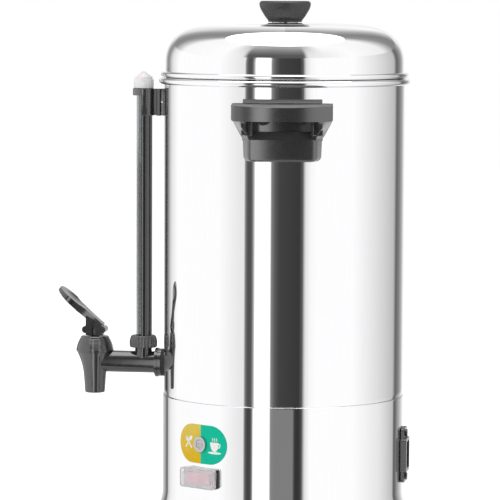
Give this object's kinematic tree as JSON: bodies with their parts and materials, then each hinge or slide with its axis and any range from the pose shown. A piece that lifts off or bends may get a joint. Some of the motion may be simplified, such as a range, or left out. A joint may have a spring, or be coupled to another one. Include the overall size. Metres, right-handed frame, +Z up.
{
  "type": "coffee urn",
  "caption": "Round stainless percolator urn with a domed lid, two scoop handles, a lever tap, a sight gauge and a base with rocker switch and mains inlet.",
  "frame": {"origin": "under the middle of the whole urn, on the surface it stands on", "axes": "+Z up, the tap points to -Y, the mains inlet to +Y, the handles to either side"},
  "size_m": [0.299, 0.331, 0.4994],
  "materials": {
    "polished_steel": "mirror polished stainless steel",
    "bright_steel": "bright stainless steel",
    "galvanised_steel": "dull galvanised sheet",
    "cast_metal": "as cast",
    "black_plastic": "satin heat resistant plastic",
    "gloss_black": "glossy moulded plastic",
    "white_plastic": "milky white plastic",
    "clear_tube": "clear tube",
    "clear_cover": "clear soft plastic",
    "lamp_clear": "milky clear lens",
    "silicone": "food grade silicone",
    "black_rubber": "matt rubber",
    "electric_black": "phenolic",
    "cream_ceramic": "glazed",
    "lead_sleeve": "silicone sleeve",
    "brass": "machined",
    "label_colours": "printed film, yellow and green",
    "red_rocker": "translucent red"
  },
  "bodies": {
    "urn": {"pot": "polished_steel", "handle_screws": "bright_steel", "handle_washers": "silicone", "handle_right": "black_plastic", "handle_left": "black_plastic", "gauge_bracket": "gloss_black", "bracket_screw": "bright_steel", "gauge_tube": "clear_tube", "gauge_guard": "gloss_black", "gauge_nut": "gloss_black", "gauge_seal": "silicone", "tap_body": "gloss_black", "tap_gasket": "black_rubber", "tap_washer": "gloss_black", "tap_back_nut": "black_plastic", "tap_bonnet": "gloss_black", "valve_spring": "bright_steel", "skirt": "polished_steel", "bottom_plate": "galvanised_steel", "feet": "black_rubber", "foot_screws": "bright_steel", "foot_nuts": "bright_steel", "base_studs": "bright_steel", "base_nuts": "bright_steel", "pump_heater": "cast_metal", "warm_element": "cast_metal", "thermostat": "electric_black", "thermal_cutout": "electric_black", "terminal_block": "cream_ceramic", "earth_stud": "brass", "leads": "lead_sleeve", "label_plate": "label_colours", "lamp_bezel": "bright_steel", "lamp_lens": "lamp_clear", "lamp_nut": "black_plastic", "switch_housing": "black_plastic", "splash_cover": "clear_cover", "inlet_housing": "black_plastic", "inlet_pins": "brass", "inlet_screws": "bright_steel", "inlet_nuts": "bright_steel"},
    "lid": {"lid_shell": "polished_steel", "lid_knob": "black_plastic", "knob_washer": "bright_steel", "knob_screw": "bright_steel"},
    "pump": {"pump_tube": "bright_steel", "pump_collar": "bright_steel"},
    "coffee_basket": {"basket": "bright_steel"},
    "spreader": {"basket_cover": "bright_steel"},
    "valve": {"valve_stem": "black_plastic", "valve_seal": "silicone", "lever_pin": "black_plastic"},
    "lever": {"tap_lever": "gloss_black"},
    "switch_rocker": {"rocker": "red_rocker"},
    "tube_cap": {"gauge_cap": "white_plastic"}
  },
  "joints": [
    {"name": "lid_lift", "type": "slide", "parent": "urn", "child": "lid", "axis": [0, 0, 1], "range_m": [0, 0.5]},
    {"name": "pump_lift", "type": "slide", "parent": "urn", "child": "pump", "axis": [0, 0, 1], "range_m": [0, 0.3]},
    {"name": "basket_lift", "type": "slide", "parent": "pump", "child": "coffee_basket", "axis": [0, 0, 1], "range_m": [0, 0.13]},
    {"name": "spreader_lift", "type": "slide", "parent": "coffee_basket", "child": "spreader", "axis": [0, 0, 1], "range_m": [0, 0.03]},
    {"name": "valve_lift", "type": "slide", "parent": "urn", "child": "valve", "axis": [0, 0, 1], "range_m": [0, 0.004], "deforming": ["valve_spring"]},
    {"name": "lever_tip", "type": "hinge", "parent": "valve", "child": "lever", "pos_m": [0, -0.13143, 0.1972], "axis": [1, 0, 0], "range_deg": [0, 35], "stiffness_Nm_per_rad": 0.15, "springref_deg": -5.73},
    {"name": "rocker_tip", "type": "hinge", "parent": "urn", "child": "switch_rocker", "pos_m": [0.09328, -0.01386, 0.073], "axis": [0, 0, 1], "range_deg": [-12, 0]},
    {"name": "cap_lift", "type": "slide", "parent": "urn", "child": "tube_cap", "axis": [0, 0, 1], "range_m": [0, 0.02]}
  ],
  "couplings": [
    {"joint": "pump_lift", "follows": "lid_lift", "ratio": 0.6},
    {"joint": "basket_lift", "follows": "lid_lift", "ratio": 0.26},
    {"joint": "spreader_lift", "follows": "lid_lift", "ratio": 0.06},
    {"joint": "valve_lift", "follows": "lever_tip", "m_per_rad": 0.0065}
  ]
}
